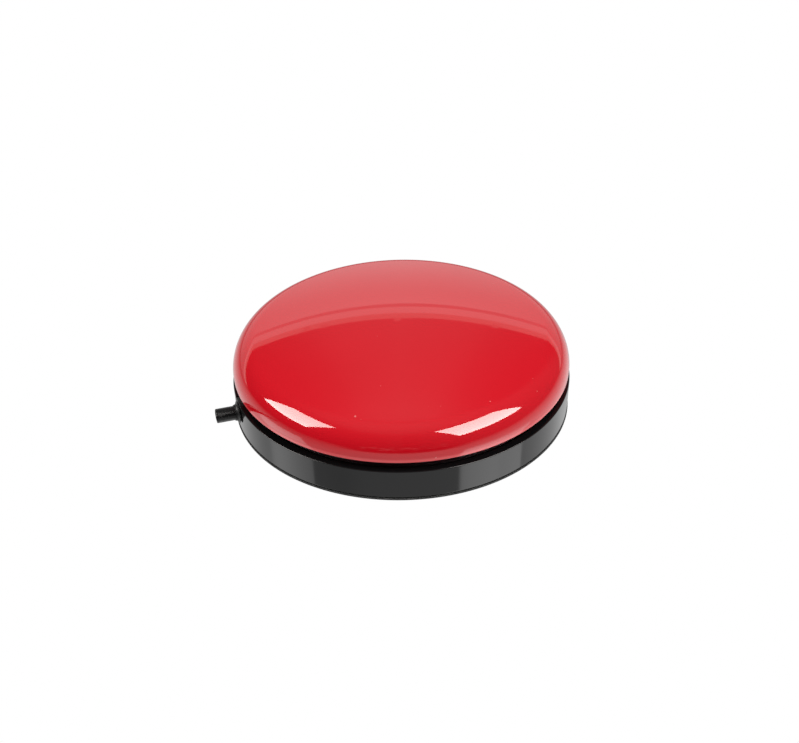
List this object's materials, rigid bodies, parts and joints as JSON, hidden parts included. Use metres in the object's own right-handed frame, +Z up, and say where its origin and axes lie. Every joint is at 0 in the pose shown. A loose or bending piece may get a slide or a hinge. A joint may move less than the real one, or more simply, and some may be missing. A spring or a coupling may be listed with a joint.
{
  "type": "quiz buzzer",
  "caption": "Wired dome push switch used as a quiz buzzer: a glossy convex cap floats on springs over a low round base and works a microswitch; a short lead stub leaves the side.",
  "frame": {"origin": "centre of the underside, on the surface the buzzer stands on", "axes": "+Z up through the middle of the cap; the lead leaves along -X; +Y completes the right-handed frame"},
  "size_m": [0.0682, 0.064, 0.0181],
  "materials": {
    "red_cap": "high gloss, injection moulded",
    "black_base": "gloss, injection moulded",
    "black_plate": "satin, fine spark-eroded texture",
    "rubber_bumper": "matte",
    "rubber_pad": "matte, fine-pored",
    "relief_rubber": "satin",
    "lead_pvc": "satin soft PVC",
    "core_white": "satin",
    "core_black": "satin",
    "screw_steel": "zinc plated",
    "spring_steel": "drawn wire",
    "lever_steel": "plain stainless strip",
    "contact_brass": "silvered",
    "green_board": "solder mask",
    "switch_case": "satin",
    "white_nylon": "satin"
  },
  "bodies": {
    "base": {"base_housing": "black_base", "bottom_pad": "rubber_pad", "circuit_board": "green_board", "board_screw_1": "screw_steel", "board_screw_2": "screw_steel", "microswitch_case": "switch_case", "microswitch_cover": "switch_case", "common_terminal": "contact_brass", "no_terminal": "contact_brass", "nc_terminal": "contact_brass", "lever_pin": "lever_steel", "lead_jacket": "lead_pvc", "core_wire_signal": "core_white", "core_wire_return": "core_black", "strain_relief": "relief_rubber", "lead_clamp": "black_plate", "clamp_screw_1": "screw_steel", "clamp_screw_2": "screw_steel"},
    "return_springs": {"return_spring_1": "spring_steel", "return_spring_2": "spring_steel", "return_spring_3": "spring_steel"},
    "actuator": {"actuator_pad": "rubber_bumper"},
    "cap": {"button_cap": "red_cap", "pressure_plate": "black_plate", "cap_screw_1": "screw_steel", "cap_screw_2": "screw_steel", "cap_screw_3": "screw_steel", "guide_screw_1": "screw_steel", "guide_screw_2": "screw_steel", "guide_screw_3": "screw_steel"},
    "switch_lever": {"switch_lever": "lever_steel"},
    "switch_plunger": {"switch_plunger": "white_nylon"},
    "snap_blade": {"snap_blade": "contact_brass"}
  },
  "joints": [
    {"name": "cap_press", "type": "slide", "parent": "base", "child": "return_springs", "axis": [0, 0, -1], "range_m": [0, 0.001], "stiffness_N_per_m": 2500, "springref_m": -0.0004, "deforming": ["return_spring_1", "return_spring_2", "return_spring_3"]},
    {"name": "cap_rock_side", "type": "hinge", "parent": "return_springs", "child": "actuator", "pos_m": [0, 0, 0.0125], "axis": [0, 1, 0], "range_deg": [-0.7, 0.7], "stiffness_Nm_per_rad": 0.5},
    {"name": "cap_rock_front", "type": "hinge", "parent": "actuator", "child": "cap", "pos_m": [0, 0, 0.0125], "axis": [1, 0, 0], "range_deg": [-0.7, 0.7], "stiffness_Nm_per_rad": 0.5},
    {"name": "lever_swing", "type": "hinge", "parent": "base", "child": "switch_lever", "pos_m": [-0.0084, 0, 0.0115], "axis": [0, 1, 0], "range_deg": [0, 7]},
    {"name": "plunger_slide", "type": "slide", "parent": "base", "child": "switch_plunger", "axis": [0, 0, -1], "range_m": [0, 0.00046]},
    {"name": "blade_swing", "type": "hinge", "parent": "base", "child": "snap_blade", "pos_m": [-0.0074, 0, 0.00768], "axis": [0, 1, 0], "range_deg": [0, 3.3]}
  ],
  "couplings": [
    {"joint": "lever_swing", "follows": "cap_press", "rad_per_m": 119.05},
    {"joint": "plunger_slide", "follows": "cap_press", "ratio": 0.45},
    {"joint": "blade_swing", "follows": "cap_press", "rad_per_m": 56}
  ]
}
